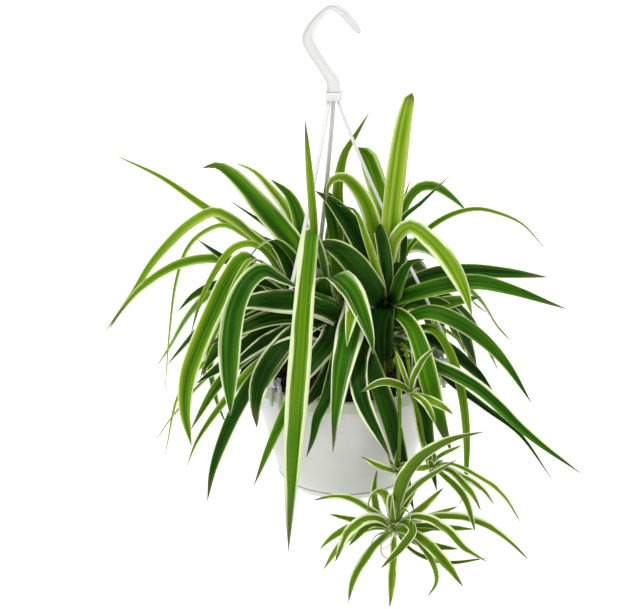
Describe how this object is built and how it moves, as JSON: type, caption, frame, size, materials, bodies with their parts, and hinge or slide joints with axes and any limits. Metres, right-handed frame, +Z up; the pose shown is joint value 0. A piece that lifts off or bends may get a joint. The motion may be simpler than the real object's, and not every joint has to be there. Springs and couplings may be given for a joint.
{
  "type": "potted spider plant in a hanging pot",
  "caption": "Spider plant with white-edged arching leaves and young plants on runners, in a white tapered hanging pot with a clip-on saucer, strap hanger and open hook.",
  "frame": {"origin": "the point under the top of the hook's bend where the whole thing hangs from a rail or nail", "axes": "+Z up; +X to the right and -Y towards the viewer in the front view; the pot's axis runs along Z at X = 10.5 mm, Y = 0"},
  "size_m": [0.3522, 0.2734, 0.438],
  "materials": {
    "pot_plastic": "satin, slightly cloudy, stained by soil and water",
    "hanger_plastic": "satin moulded plastic",
    "potting_soil": "loose and crumbly, fully rough",
    "leaf": "waxy satin, green with cream margins",
    "young_leaf": "waxy satin, light green with cream margins"
  },
  "bodies": {
    "root": {"pot": "pot_plastic", "saucer": "pot_plastic", "soil": "potting_soil", "hanger_hook": "hanger_plastic", "hanger_block": "hanger_plastic", "hanger_strand_left": "hanger_plastic", "hanger_strand_back": "hanger_plastic", "hanger_strand_right": "hanger_plastic", "crown_right": "leaf", "crown_centre": "leaf", "crown_left": "leaf", "crown_back": "leaf", "runner_front": "young_leaf", "runner_side": "young_leaf"}
  },
  "joints": []
}
